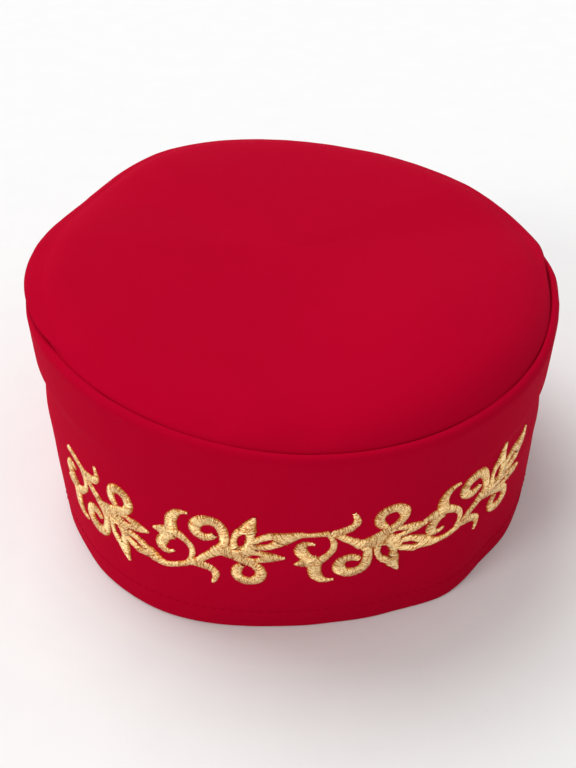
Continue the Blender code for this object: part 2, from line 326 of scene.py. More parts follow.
def smooth_wall(angle, height):
    share = height / BROW_HEIGHT
    radius = rim_radius(angle) * (1 - share) + brow_radius(angle) * share
    radius += sum_of_hills(RIM_CORNERS, angle) * math.exp(-((height / RIM_CORNER_HEIGHT) ** 2))
    radius += sum_of_hills(BROW_CORNERS, angle) * share ** 3
    return radius - crease(angle, height)


def gathers(angle, offset):
    """Small puckers that the needle leaves along a seam; the offset makes each seam differ."""
    spot = Vector((math.cos(angle), math.sin(angle), 0))
    return sum(size * noise.noise(spot * many + Vector((0, 0, offset))) for many, size in PUCKERS)


def beside(seam, distance):
    """How far out the cloth stands at a distance from a seam."""
    size, reach = seam
    return size * math.exp(-((distance / reach) ** 2))


def wall_radius(angle, height):
    radius = smooth_wall(angle, height)
    spot = Vector((radius * math.cos(angle), radius * math.sin(angle), height * WAVER_SQUEEZE))
    for size, length, part in WAVERS:
        radius += size * noise.noise(spot / length + part)
    radius += SEAM_GATHER[0] * gathers(angle, 1.0) * math.exp((height - BROW_HEIGHT) / SEAM_GATHER[1])
    radius += beside(HEM_GATHER, height - HEM_LINE) * gathers(angle, 5.0)
    radius += beside(HEM_GROOVE, height - HEM_LINE)
    return radius + beside(BACK_SEAM, (math.pi - abs(from_front(angle))) * radius)


def brow_lift(angle):
    """How far the cap leans up or sags at the brow."""
    tilt = BROW_TILT[0] * math.cos(angle) + BROW_TILT[1] * math.sin(angle)
    return tilt - sum_of_hills(SEAM_SAGS, angle)


def place(angle, radius, height):
    lift = brow_lift(angle) * smooth_step(min(height, BROW_HEIGHT) / BROW_HEIGHT)
    return Vector((radius * math.cos(angle), radius * math.sin(angle), height + lift)) - CENTRE


rim_length = sum(
    (place(math.radians(i), rim_radius(math.radians(i)), 0)
     - place(math.radians(i + 1), rim_radius(math.radians(i + 1)), 0)).length
    for i in range(360)
)
print("outside of the rim measures", round(rim_length * 1000), "mm round")

# %% [markdown]
# ## Turning profiles into cloth
#
# Both cloth pieces are made in the same way: a list of profile points for each angle, joined into
# rings. Each ring keeps its distance along the cloth as a UV coordinate in metres, so the weave
# lies on the cloth at its true scale, as it would on a cut pattern piece.

# %% Ring mesh helper
SECTORS = 480


def ring_angles():
    return [FRONT + math.pi + 2 * math.pi * i / SECTORS for i in range(SECTORS)]


def smooth_piece(name, mesh):
    bmesh.ops.recalc_face_normals(mesh, faces=mesh.faces)
    data = bpy.data.meshes.new(name)
    mesh.to_mesh(data)
    mesh.free()
    data.shade_smooth()
    return in_scene(name, data)


def cloth_mesh(name, rings, uvs, closed_profile, pole=None):
    """A mesh from rings of points, with a UV pair for each point and one more at the join."""
    mesh = bmesh.new()
    layer = mesh.loops.layers.uv.new("cloth")
    verts = [[mesh.verts.new(point) for point in ring] for ring in rings]
    pairs = list(zip(range(len(rings) - 1), range(1, len(rings))))
    if closed_profile:
        pairs.append((len(rings) - 1, 0))
    for low, high in pairs:
        top = high if high else len(rings)
        for i in range(SECTORS):
            j = (i + 1) % SECTORS
            face = mesh.faces.new((verts[low][i], verts[low][j], verts[high][j], verts[high][i]))
            corners = (uvs[low][i], uvs[low][i + 1], uvs[top][i + 1], uvs[top][i])
            for loop, uv in zip(face.loops, corners):
                loop[layer].uv = uv
    for ring, point in pole or []:
        middle = mesh.verts.new(point)
        for i in range(SECTORS):
            face = mesh.faces.new((verts[ring][i], verts[ring][(i + 1) % SECTORS], middle))
            for loop in face.loops:
                loop[layer].uv = loop.vert.co.xy
    return smooth_piece(name, mesh)


print("each ring of cloth has", SECTORS, "points")

# %% [markdown]
# ## The band
#
# The band starts at the flat underside of the rim, turns up round a soft edge, climbs the outside,
# rolls over at the brow and dives into the seam. Then it runs back down the inside to the hem,
# which is turned up by nearly a centimetre and is thicker there. One closed profile makes both
# faces of the wall at once. Solidify would too, but it could not thicken the hem.

# %% Make the band
CLOTH = 0.0020
HEM_EXTRA = 0.0008
HEM_TOP = 0.0096
RIM_ROUND = 0.0010
SEAM_DIP = 0.0004
SHOULDER = 0.0022
SEAM_LIP = 0.0006
OUTSIDE_STEPS = [0.0017, 0.0026, 0.0036, 0.0046, 0.0056, 0.0064, 0.0070, 0.0074, 0.0077, 0.0080,
                 0.0083, 0.0086, 0.0090, 0.0096, 0.0104]
WALL_FOOT = 0.0115
WALL_STEPS = 40
# Where the edge is tucked into the seam: (inwards from the brow, down from the seam)
TUCK = [(0.0031, 0.0006), (0.0036, 0.0016)]
INSIDE_TOP = BROW_HEIGHT - 0.0010
INSIDE_FOOT = HEM_TOP + 0.0006
INSIDE_STEPS = 16
HEM_STEPS = (0.0075, 0.0058, 0.0042, 0.0026, 0.0014)
INNER_ROUND = 0.6 * RIM_ROUND
# The middle of the wall is a little longer than the rim
WALL_LENGTH = 1.02 * rim_length


def quarter(steps, first=0):
    """Pairs from (0, 0) to (1, 1) along a quarter circle; the second starts faster."""
    turns = [math.pi / 2 * i / steps for i in range(first, steps + 1)]
    return [(1 - math.cos(turn), math.sin(turn)) for turn in turns]


def band_profile(angle):
    foot = wall_radius(angle, RIM_ROUND)
    points = [(foot - RIM_ROUND + RIM_ROUND * fast, RIM_ROUND * slow) for slow, fast in quarter(5)]
    wall = BROW_HEIGHT - WALL_FOOT
    heights = OUTSIDE_STEPS + [WALL_FOOT + wall * i / WALL_STEPS for i in range(WALL_STEPS + 1)]
    points += [(wall_radius(angle, h), h) for h in heights]
    brow = points[-1][0]
    rise = SEAM_HEIGHT - BROW_HEIGHT
    points += [(brow - SHOULDER * slow, BROW_HEIGHT + rise * fast) for slow, fast in quarter(6, 1)]
    points += [(brow - SHOULDER - SEAM_LIP * fast, SEAM_HEIGHT - SEAM_DIP * slow)
               for slow, fast in quarter(4, 1)]
    points += [(brow - inwards, SEAM_HEIGHT - SEAM_DIP - down) for inwards, down in TUCK]
    fall = INSIDE_TOP - INSIDE_FOOT
    inside = [INSIDE_TOP - fall * i / INSIDE_STEPS for i in range(INSIDE_STEPS + 1)]
    points += [(wall_radius(angle, h) - CLOTH, h) for h in inside]
    edge = wall_radius(angle, HEM_TOP) - CLOTH
    points += [(edge - HEM_EXTRA * fast, HEM_TOP - HEM_EXTRA * slow) for slow, fast in quarter(3)]
    thick = CLOTH + HEM_EXTRA
    points += [(wall_radius(angle, h) - thick, h) for h in HEM_STEPS]
    inner = foot - thick
    points += [(inner + INNER_ROUND * slow, INNER_ROUND * (1 - fast)) for slow, fast in quarter(3)]
    return points


def band_cloth():
    profiles = [band_profile(a) for a in ring_angles()]
    columns = [[place(a, r, h) for r, h in p] for a, p in zip(ring_angles(), profiles)]
    rings = list(zip(*columns))
    step = WALL_LENGTH / SECTORS
    middle = columns[SECTORS // 2] + [columns[SECTORS // 2][0]]
    climb = [0.0]
    for low, high in zip(middle, middle[1:]):
        climb.append(climb[-1] + (high - low).length)
    uvs = [[(i * step, c) for i in range(SECTORS + 1)] for c in climb]
    return cloth_mesh("band_cloth", rings, uvs, closed_profile=True)


band = band_cloth()
print("band cloth:", len(band.data.polygons), "faces")

# %% [markdown]
# ## The crown
#
# The crown is cut a little large and sewn in, so it rolls up out of the seam and lies nearly flat
# in the middle. At the right of the front it sags into a long soft fold beside the seam. A flat
# disc would look like cardboard. Here the height is a function of the distance from the seam,
# with the folds as a short table: where each one is, how wide it is and how deep.

# %% Make the crown
CROWN_RISE = 0.0072
EDGE_SHARE = 0.58
EDGE_ROLL = 0.0038
DOME_ROLL = 0.0160
CROWN_CLOTH = 0.0018
# From the sides round the back, the crown's edge puffs out over the seam
OVERHANG = 0.0026
OVERHANG_AT = 0.0018
OVERHANG_MIDDLE = 0.37
OVERHANG_FROM = 1.17
OVERHANG_BLEND = 0.28
# It puffs out most at the two sides: (degrees from the front, half width, how far out)
SIDE_PUFFS = [(-82, 36, 0.0019), (98, 32, 0.0013)]
# The crown stands higher behind the right of the front, so it falls steeply to the seam there
SWELL_AT = 46
SWELL_HALF = 52
SWELL_HEIGHT = 0.0042
SWELL_ROLL = 0.0085
# Unevenness and puckers, as on the band
CROWN_WAVER = (0.00055, 0.045, Vector((1.7, 9.2, 4.4)))
CROWN_GATHER = (0.000208, 0.007)
# Distances from the seam over which they and the folds grow to their full size
WAVER_START = 0.012
GATHER_START = 0.0008
FOLD_START = 0.003
# Folds beside the seam: (degrees from the front, half width in degrees, depth, reach inwards)
CROWN_FOLDS = [(-30, 26, 0.0009, 0.009), (3, 7, 0.0005, 0.006), (-14, 5, 0.0004, 0.005),
               (-75, 14, -0.0009, 0.009)]
FOLD_DEEPEST = 0.7
# The rings follow the seam up to the flat part. From there they only shrink towards the middle
CROWN_FLAT = 0.030
OUT_STEPS = [0.0, 0.0001, 0.00025, 0.00045, 0.0007, 0.0010, 0.0013, 0.0017, 0.0022, 0.0028, 0.0035,
             0.0043, 0.0052, 0.0062, 0.0073, 0.0085, 0.0098, 0.0112, 0.0128, 0.0146, 0.0168, 0.0195,
             0.0225, 0.026, CROWN_FLAT]
UNDER_STEPS = [CROWN_FLAT, 0.022, 0.016, 0.011, 0.0075, 0.005, 0.0035]
# The lip between the two faces of the crown, down in the seam: (inwards, below)
LIPS = [(0.0018, 0.0022), (0.0006, 0.0014)]
SHRINKS = [0.90, 0.80, 0.70, 0.60, 0.50, 0.40, 0.30, 0.20, 0.12, 0.05]


def crown_height(angle, inwards, calm):
    lip = SEAM_DIP * math.sqrt(max(0.0, 1 - (1 - min(1.0, inwards / SEAM_LIP)) ** 2))
    edge = EDGE_SHARE * (1 - math.exp(-inwards / EDGE_ROLL))
    dome = (1 - EDGE_SHARE) * (1 - math.exp(-inwards / DOME_ROLL))
    degrees = math.degrees(from_front(angle))
    swell = SWELL_HEIGHT * hill(degrees - SWELL_AT, SWELL_HALF) * (1 - math.exp(-inwards / SWELL_ROLL))
    dip = 0.0
    for at, half, depth, reach in CROWN_FOLDS:
        shape = math.exp(-(((inwards - FOLD_DEEPEST * reach) / reach) ** 2))
        dip += depth * hill(degrees - at, half) * shape * smooth_step(inwards / FOLD_START)
    gather = CROWN_GATHER[0] * gathers(angle, 2.0) * math.exp(-inwards / CROWN_GATHER[1])
    gather *= smooth_step(inwards / GATHER_START)
    return lip + CROWN_RISE * (edge + dome) + swell * calm - dip + gather


def crown_point(angle, inwards, shrink, below):
    edge = brow_radius(angle) - SEAM_INSET
    past = abs(from_front(angle) - OVERHANG_MIDDLE) - OVERHANG_FROM
    puff = OVERHANG * smooth_step(past / OVERHANG_BLEND)
    puff = (puff + sum_of_hills(SIDE_PUFFS, angle)) * hill(inwards - OVERHANG_AT, OVERHANG_AT)
    radius = (edge - inwards + puff) * shrink
    point = place(angle, radius, 0)
    tilt = brow_lift(angle) * min(1.0, radius / edge)
    height = crown_height(angle, inwards, smooth_step(shrink) ** 2)
    point.z = SEAM_HEIGHT - SEAM_DIP + height - below + tilt
    size, length, part = CROWN_WAVER
    soft = noise.noise(Vector((point.x, point.y, 0)) / length + part)
    point.z += size * soft * smooth_step(inwards / WAVER_START)
    return point


def crown_cloth():
    angles = ring_angles()
    steps = [(d, 1.0) for d in OUT_STEPS] + [(CROWN_FLAT, s) for s in SHRINKS]
    outer = [[crown_point(a, d, s, 0.0) for a in angles] for d, s in steps]
    under = [(CROWN_FLAT, s) for s in reversed(SHRINKS[1::3])] + [(d, 1.0) for d in UNDER_STEPS]
    inner = [[crown_point(a, d, s, CROWN_CLOTH) for a in angles] for d, s in under]
    lips = [[crown_point(a, d, 1.0, below) for a in angles] for d, below in LIPS]
    rings = outer[::-1] + lips[::-1] + inner[::-1]
    uvs = [[tuple(p.xy) for p in list(ring) + [ring[0]]] for ring in rings]
    tops = [(ring, sum(rings[ring], Vector()) / SECTORS) for ring in (0, len(rings) - 1)]
    return cloth_mesh("crown_cloth", rings, uvs, closed_profile=False, pole=tops)


crown = crown_cloth()
print("crown cloth:", len(crown.data.polygons), "faces, top at",
      round(max(v.co.z for v in crown.data.vertices) * 1000, 1), "mm")

# %% [markdown]
# ## The red cloth
#
# The cloth is a fine, closely woven twill with a matt face. From arm's length its weave is only
# just there. A shader group draws it from the UV map: slanting ribs, crossed by finer yarns, with
# noise that lets some yarns stand out. The group gives a height and a tone. It is built once, and
# the cloth and the sewing thread both use it, each with its own pitch.

# %% Weave group
RIB_SLANT = 0.7
RIB_HEIGHT = 0.30
YARN_HEIGHT = 0.12
SLUB_GRAIN = 1400
CLOUD_GRAIN = 45
CLOUD_SHARE = 0.6


def new_group(name, inputs, outputs):
    group = bpy.data.node_groups.new(name, "ShaderNodeTree")
    for label, kind, value in inputs:
        socket = group.interface.new_socket(label, in_out="INPUT", socket_type=kind)
        if value is not None:
            socket.default_value = value
    for label, kind in outputs:
        group.interface.new_socket(label, in_out="OUTPUT", socket_type=kind)
    source = group.nodes.new("NodeGroupInput")
    sink = group.nodes.new("NodeGroupOutput")
    return group, source, sink


def blend(tree, parts):
    """The sum of some sockets, each times its weight."""
    total = None
    for socket, weight in parts:
        part = math_node(tree, "MULTIPLY", socket, weight)
        total = part if total is None else math_node(tree, "ADD", total, part)
    return total


def weave_group():
    group, source, sink = new_group(
        "Fine twill",
        [("Place", "NodeSocketVector", None), ("Pitch", "NodeSocketFloat", 0.0005),
         ("Unevenness", "NodeSocketFloat", 0.5)],
        [("Height", "NodeSocketFloat"), ("Tone", "NodeSocketFloat")],
    )
    given = source.outputs
    parts = add_node(group, "ShaderNodeSeparateXYZ", {0: given["Place"]})
    across = math_node(group, "DIVIDE", parts.outputs["X"], given["Pitch"])
    along = math_node(group, "DIVIDE", parts.outputs["Y"], given["Pitch"])
    slant = math_node(group, "ADD", across, math_node(group, "MULTIPLY", along, RIB_SLANT))
    rib = math_node(group, "SINE", math_node(group, "MULTIPLY", slant, 2 * math.pi))
    yarn = math_node(group, "SINE", math_node(group, "MULTIPLY", along, 4 * math.pi))
    slub, cloud = [
        add_node(group, "ShaderNodeTexNoise",
                 {"Vector": given["Place"], "Scale": grain, "Detail": detail}).outputs["Fac"]
        for grain, detail in ((SLUB_GRAIN, 3), (CLOUD_GRAIN, 2))
    ]
    height = blend(group, [(rib, RIB_HEIGHT), (yarn, YARN_HEIGHT), (slub, given["Unevenness"])])
    tone = blend(group, [(cloud, CLOUD_SHARE), (slub, 1 - CLOUD_SHARE)])
    wire(group, sink, {"Height": height, "Tone": tone})
    return group


twill = weave_group()
print("group", twill.name, "gives", [s.name for s in twill.interface.items_tree if s.in_out == "OUTPUT"])

# %% [markdown]
# Woven wool and cotton scatter light at grazing angles, which the Principled shader calls sheen.
# Its tint is red here, so that the edges of the cap brighten without turning chalky. The
# highlight of plastic would wash the red out, so the specular level is kept very low. The cloth
# takes its weave from the UV map. A piece without one, like the sewing thread, takes it from its
# place in space.

# %% Red cloth material
RED_LIGHT = (0.440, 0.0000, 0.0190, 1)
RED_DEEP = (0.405, 0.0000, 0.0170, 1)
CLOTH_FINISH = {"Roughness": 0.85, "Specular IOR Level": 0.02, "Sheen Weight": 0.16,
                "Sheen Roughness": 0.40, "Sheen Tint": (0.80, 0.0, 0.06, 1)}
CLOTH_BUMP = 0.55
# Length and height of one rib of the weave
CLOTH_RIB = (0.0005, 0.00006)


def add_bumps(tree, shader, height, strength, distance):
    bump = add_node(tree, "ShaderNodeBump", {"Strength": strength, "Distance": distance, "Height": height})
    wire(tree, shader, {"Normal": bump.outputs["Normal"]})


def cloth_material(name, light, deep, rib, uv_name=""):
    material, tree, shader = new_material(name, CLOTH_FINISH)
    if uv_name:
        spot = tree.nodes.new("ShaderNodeUVMap")
        spot.uv_map = uv_name
    else:
        spot = tree.nodes.new("ShaderNodeTexCoord")
    weave = tree.nodes.new("ShaderNodeGroup")
    weave.node_tree = twill
    wire(tree, weave, {"Place": spot.outputs["UV" if uv_name else "Object"], "Pitch": rib[0]})
    two_tones(tree, shader, weave.outputs["Tone"], deep, light)
    add_bumps(tree, shader, weave.outputs["Height"], CLOTH_BUMP, rib[1])
    return material


red_cloth = cloth_material("red_twill", RED_LIGHT, RED_DEEP, CLOTH_RIB, "cloth")
for piece in (band, crown):
    piece.data.materials.append(red_cloth)
print("materials so far:", [m.name for m in bpy.data.materials if m.name.startswith("red")])

# %% [markdown]
# ## A helper for Geometry Nodes
#
# Stitches repeat along a path, which is what Geometry Nodes are good at. Each tree below takes a
# guide mesh of bare edges that lies on the cloth. Every point of the guide carries an attribute
# `out`, which says which way is away from the cloth there. The last helper gives the tree its
# material, evaluates it once and keeps the result as a plain mesh. What both trees do alike, such
# as walking along the guide in even steps, is a helper too.

# %% Geometry Nodes helper
def new_geometry_tree(name, sizes):
    tree = bpy.data.node_groups.new(name, "GeometryNodeTree")
    tree.interface.new_socket("Geometry", in_out="INPUT", socket_type="NodeSocketGeometry")
    for label, value in sizes:
        socket = tree.interface.new_socket(label, in_out="INPUT", socket_type="NodeSocketFloat")
        socket.default_value = value
    tree.interface.new_socket("Material", in_out="INPUT", socket_type="NodeSocketMaterial")
    tree.interface.new_socket("Geometry", in_out="OUTPUT", socket_type="NodeSocketGeometry")
    return tree, tree.nodes.new("NodeGroupInput"), tree.nodes.new("NodeGroupOutput")


def named_attribute(tree, name, kind="FLOAT"):
    node = tree.nodes.new("GeometryNodeInputNamedAttribute")
    node.data_type = kind
    return wire(tree, node, {"Name": name}).outputs["Attribute"]


def even_steps(tree, source, label):
    """The guide as a curve with a point at every step; the label names the step's length."""
    path = add_node(tree, "GeometryNodeMeshToCurve", {"Mesh": source.outputs["Geometry"]})
    steps = tree.nodes.new("GeometryNodeResampleCurve")
    steps.mode = "LENGTH"
    wire(tree, steps, {"Curve": path.outputs["Curve"], "Length": source.outputs[label]})
    return steps.outputs["Curve"]


def away_from_cloth(tree, axis):
    """The turn that points Z away from the cloth and another axis along the guide."""
    turn = tree.nodes.new("FunctionNodeAxesToRotation")
    turn.primary_axis = "Z"
    turn.secondary_axis = axis
    along = tree.nodes.new("GeometryNodeInputTangent").outputs["Tangent"]
    out = named_attribute(tree, "out", "FLOAT_VECTOR")
    return wire(tree, turn, {"Primary Axis": out, "Secondary Axis": along}).outputs["Rotation"]


def round_thread(tree, source, curve, corners):
    ring = add_node(tree, "GeometryNodeCurvePrimitiveCircle",
                    {"Resolution": corners, "Radius": source.outputs["Thread radius"]})
    thread = add_node(tree, "GeometryNodeCurveToMesh",
                      {"Curve": curve, "Profile Curve": ring.outputs["Curve"], "Fill Caps": True})
    return thread.outputs["Mesh"]


def finish_tree(tree, source, sink, geometry):
    real = add_node(tree, "GeometryNodeRealizeInstances", {"Geometry": geometry})
    finish = add_node(tree, "GeometryNodeSetMaterial",
                      {"Geometry": real.outputs["Geometry"], "Material": source.outputs["Material"]})
    wire(tree, sink, {"Geometry": finish.outputs["Geometry"]})
    return tree


def guide_mesh(name, lines, attributes):
    """Bare edges along each line; attributes maps a name to a vector or number for each point."""
    points, edges = [], []
    for line, closed in lines:
        start = len(points)
        points += line
        edges += [(start + i, start + i + 1) for i in range(len(line) - 1)]
        if closed:
            edges.append((start + len(line) - 1, start))
    data = bpy.data.meshes.new(name)
    data.from_pydata(points, edges, [])
    for label, values in attributes.items():
        if isinstance(values[0], Vector):
            layer = data.attributes.new(label, "FLOAT_VECTOR", "POINT")
            layer.data.foreach_set("vector", [part for vector in values for part in vector])
        else:
            layer = data.attributes.new(label, "FLOAT", "POINT")
            layer.data.foreach_set("value", values)
    return in_scene(name, data)


def grow(guide, tree, material, name):
    """Runs the tree on the guide and returns the stitches as a plain mesh object."""
    modifier = guide.modifiers.new("stitches", "NODES")
    modifier.node_group = tree
    for item in tree.interface.items_tree:
        if item.item_type == "SOCKET" and item.in_out == "INPUT" and item.name == "Material":
            modifier[item.identifier] = material
    bpy.context.view_layer.update()
    graph = bpy.context.evaluated_depsgraph_get()
    data = bpy.data.meshes.new_from_object(guide.evaluated_get(graph))
    data.name = name
    made = in_scene(name, data)
    bpy.data.objects.remove(guide)
    return made


print("geometry node helpers ready")

# %% [markdown]
# ## The hem stitches
#
# A row of machine stitches holds the turned hem, eight millimetres above the rim. In the
# photograph it is barely darker than the cloth. Each stitch is a short arched thread whose ends
# dip into the cloth. The tree resamples the guide into equal steps and sets one stitch on each.

# %% Sew the hem
STITCH_STEP = 0.0030
STITCH_LENGTH = 0.0025
SEWING_THREAD = 0.00015
SEWING_LIGHT = (0.45, 0.0, 0.019, 1)
SEWING_DEEP = (0.41, 0.0, 0.017, 1)
SEWING_RIB = (0.0003, 0.00003)
# Heights of the middle handle and of the ends of a stitch
STITCH_ARCH = 0.00034
STITCH_ENDS = -0.00012
STITCH_POINTS = 6
STITCH_CORNERS = 6
# Small steps to both sides of a spot, in radians and metres, from which its slope is taken
SLOPE_TURN = 0.004
SLOPE_RISE = 0.0008


def hem_tree():
    tree, source, sink = new_geometry_tree(
        "Hem stitches",
        [("Stitch step", STITCH_STEP), ("Stitch length", STITCH_LENGTH), ("Thread radius", SEWING_THREAD)],
    )
    half = math_node(tree, "MULTIPLY", source.outputs["Stitch length"], 0.5)
    ends = [add_node(tree, "ShaderNodeCombineXYZ", {"X": x, "Z": STITCH_ENDS}).outputs[0]
            for x in (math_node(tree, "MULTIPLY", half, -1.0), half)]
    arch = add_node(tree, "GeometryNodeCurveQuadraticBezier",
                    {"Resolution": STITCH_POINTS, "Start": ends[0],
                     "Middle": (0, 0, STITCH_ARCH), "End": ends[1]})
    sew = add_node(tree, "GeometryNodeInstanceOnPoints", {
        "Points": even_steps(tree, source, "Stitch step"),
        "Instance": round_thread(tree, source, arch.outputs["Curve"], STITCH_CORNERS),
        "Rotation": away_from_cloth(tree, "X"),
    })
    return finish_tree(tree, source, sink, sew.outputs["Instances"])


def surface_out(angle, height):
    """The direction away from the band's outer face."""
    turns = (angle - SLOPE_TURN, angle + SLOPE_TURN)
    left, right = [place(a, smooth_wall(a, height), height) for a in turns]
    heights = (height - SLOPE_RISE, height + SLOPE_RISE)
    low, high = [place(angle, smooth_wall(angle, h), h) for h in heights]
    return (right - left).cross(high - low).normalized()


def hem_guide():
    outside = [place(a, wall_radius(a, HEM_LINE), HEM_LINE) for a in FINE_TURNS]
    inside = [place(a, wall_radius(a, HEM_LINE) - CLOTH - HEM_EXTRA, HEM_LINE) for a in FINE_TURNS]
    outs = [surface_out(a, HEM_LINE) for a in FINE_TURNS]
    both = outs + [-out for out in outs]
    return guide_mesh("hem_guide", [(outside, True), (inside, True)], {"out": both})


sewing_thread = cloth_material("red_sewing_thread", SEWING_LIGHT, SEWING_DEEP, SEWING_RIB)
hem_stitches = grow(hem_guide(), hem_tree(), sewing_thread, "hem_stitches")
print("hem stitches:", len(hem_stitches.data.polygons), "faces")

# %% [markdown]
# ## The vine, charted
#
# The embroidery is a running vine of the common scrolling kind: one unit, repeated four times,
# every second one turned over. A digitiser draws such a unit as satin columns, each a centre line
# with a width, and the leaves are columns with a bare eye. The same is done here, in millimetres.
# Then every unit gets a row saying where it lies on the band, because the sewn vine climbs a
# little from left to right.

# %% Chart one unit
VINE_UNIT_LENGTH = 0.045
# One row for each unit: (start along the band, stretch along, lean, middle height, slope,
# stretch up, bow along, bow up, way up)
VINE_UNITS = [
    (-0.0883, 0.984, 0.034, 0.0342, -0.026, 0.942, 0.0, 0.0, -1),
    (-0.0446, 0.983, -0.016, 0.0366, 0.032, 0.992, 0.0, 0.0, 1),
    (-0.0001, 0.998, -0.037, 0.0350, 0.127, 1.040, -0.0015, 0.0014, -1),
    (0.0405, 1.074, -0.122, 0.0422, 0.006, 0.970, 0.0, 0.0, 1),
]
# Plain columns: rows of (along, up, width) in millimetres, sewn in this order
STEM = [(2.4, -12.2, 1.5), (5.0, -11.8, 2.0), (9.0, -10.6, 2.0), (12.0, -9.1, 2.2), (15.0, -7.1, 2.4),
        (17.0, -5.1, 2.6), (20.0, -2.6, 3.2), (22.5, -0.8, 4.9), (27.0, -1.0, 6.3), (30.5, 0.2, 5.0),
        (33.0, 1.9, 4.5)]
TAIL = [(13.0, -8.8, 2.4), (16.2, -8.9, 3.4), (18.5, -9.6, 3.0), (20.0, -11.0, 2.8), (20.3, -12.4, 2.4),
        (19.9, -14.3, 1.8), (19.2, -15.9, 1.1)]
STALK = [(11.4, -9.0, 1.6), (12.6, -6.4, 1.6), (13.2, -4.0, 2.0), (12.8, -1.6, 2.2), (11.3, 0.4, 2.6),
         (9.0, 2.2, 3.5), (7.0, 3.0, 4.6)]
UPPER_PETAL = [(6.5, 2.9, 5.0), (6.6, 5.4, 4.2), (6.7, 7.4, 3.9), (7.2, 9.2, 3.6), (8.8, 11.4, 2.6),
               (10.6, 12.4, 1.6), (12.8, 12.7, 0.7)]
MIDDLE_PETAL = [(7.0, 1.9, 5.0), (3.5, 1.8, 4.6), (1.5, 1.9, 2.2), (0.0, 1.8, 0.6)]
LOWER_PETAL = [(5.5, 1.4, 5.0), (4.0, -0.6, 3.8), (2.7, -2.8, 4.0), (2.5, -4.8, 3.8), (3.7, -6.2, 2.6),
               (5.2, -6.3, 1.5), (6.9, -5.5, 0.6)]
SCROLL = [(22.0, -0.6, 3.2), (23.8, 2.4, 2.8), (24.0, 5.4, 3.0), (23.5, 8.6, 3.4), (22.0, 10.9, 3.7),
          (19.7, 11.5, 3.8), (17.0, 10.8, 3.8), (15.0, 8.7, 3.9), (14.8, 6.2, 3.7), (16.1, 4.4, 3.2),
          (18.0, 4.0, 2.9), (19.8, 4.6, 2.4), (21.0, 5.7, 1.9)]
LOOP = [(27.0, -2.6, 3.5), (30.0, -4.6, 3.0), (32.5, -5.6, 3.2), (34.4, -8.0, 3.4), (34.7, -10.6, 3.6),
        (33.3, -12.9, 3.6), (30.7, -13.8, 3.4), (28.1, -12.8, 3.4), (27.0, -10.6, 3.2),
        (27.5, -8.0, 3.0), (29.0, -6.4, 2.0)]
# Leaves: the same, and where the eye is open also its (offset, width)
UPPER_LEAF = [(28.4, 0.6, 5.4), (28.8, 2.0, 6.4, 0.3, 1.2), (29.4, 4.2, 6.9, 0.3, 2.7),
              (30.1, 6.6, 6.8, 0.2, 2.6), (30.6, 8.2, 6.2, 0.1, 0.7), (31.2, 9.8, 5.4),
              (32.1, 12.6, 3.6), (33.8, 16.0, 0.8)]
LONG_LEAF = [(32.0, 3.2, 4.2), (33.6, 3.7, 5.0, 0.0, 0.4), (35.2, 4.4, 5.8, 0.0, 1.3),
             (37.0, 5.1, 6.5, 0.0, 1.8), (38.8, 6.0, 6.7, 0.1, 1.3), (40.2, 6.7, 6.4, 0.0, 0.3),
             (42.4, 7.5, 5.0)]
LAST_TIP = [(43.8, 7.9, 4.2), (45.6, 8.6, 3.0), (47.2, 9.6, 1.8), (48.9, 10.8, 0.8)]
LOWER_LEAF = [(27.6, -1.8, 4.0), (29.0, -1.8, 4.4, 0.0, 0.4), (30.6, -1.8, 4.8, 0.0, 1.6),
              (32.6, -1.9, 5.0, -0.1, 2.1), (34.4, -1.9, 5.0, 0.0, 1.4), (35.8, -1.8, 5.0, 0.0, 0.3),
              (38.4, -1.7, 3.9), (40.6, -1.8, 2.2), (42.3, -1.9, 0.8)]
# Where a long leaf runs on into the next stem: rows of (along the band, height, width)
JOINTS = [
    [(-48.6, 27.3, 6.0), (-46.4, 26.2, 5.0), (-44.2, 25.0, 3.8), (-41.8, 24.3, 2.6), (-39.2, 24.7, 2.1),
     (-35.4, 26.4, 2.0), (-32.4, 28.2, 2.2)],
    [(-5.2, 44.4, 6.0), (-3.0, 45.3, 5.0), (-1.0, 46.1, 4.0), (1.5, 46.9, 2.5), (3.6, 46.8, 1.7),
     (6.8, 46.9, 1.8), (10.4, 47.1, 2.2)],
    [(39.4, 33.8, 6.0), (41.4, 33.0, 5.0), (44.0, 31.9, 3.7), (46.6, 31.5, 2.5), (49.0, 31.6, 1.9),
     (51.7, 32.1, 2.0), (55.0, 33.3, 2.2)],
]


def columns(number):
    """Sewing order of one unit: each column, its height in millimetres and the slant of its threads."""
    first, last = number == 1, number == len(VINE_UNITS)
    stem = STEM if first else STEM[3:]
    long_leaf = LONG_LEAF[:-1] + (LAST_TIP if last else LONG_LEAF[-1:])
    return [
        (STALK, 0.00, 0.15), (TAIL, 0.00, 0.15), (stem, 0.06, 0.15), (LOOP, 0.10, 0.15),
        (SCROLL, 0.14, 0.15), (MIDDLE_PETAL, 0.06, 0.15), (LOWER_PETAL, 0.12, 0.20),
        (UPPER_PETAL, 0.18, 0.20), (LOWER_LEAF, 0.12, 0.40), (long_leaf, 0.18, 0.50),
        (UPPER_LEAF, 0.24, 0.40),
    ]


print("one vine unit has", len(columns(2)), "satin columns")

# %% [markdown]
# A row of the chart becomes a smooth line through a Catmull-Rom curve. Where a leaf has its eye
# open, the column splits into a strip on each side of it, and joins again beyond.

# %% Split the columns into strips
CHART_STEP = 0.6
EYE_OPEN = 0.3
NARROWEST = 0.5


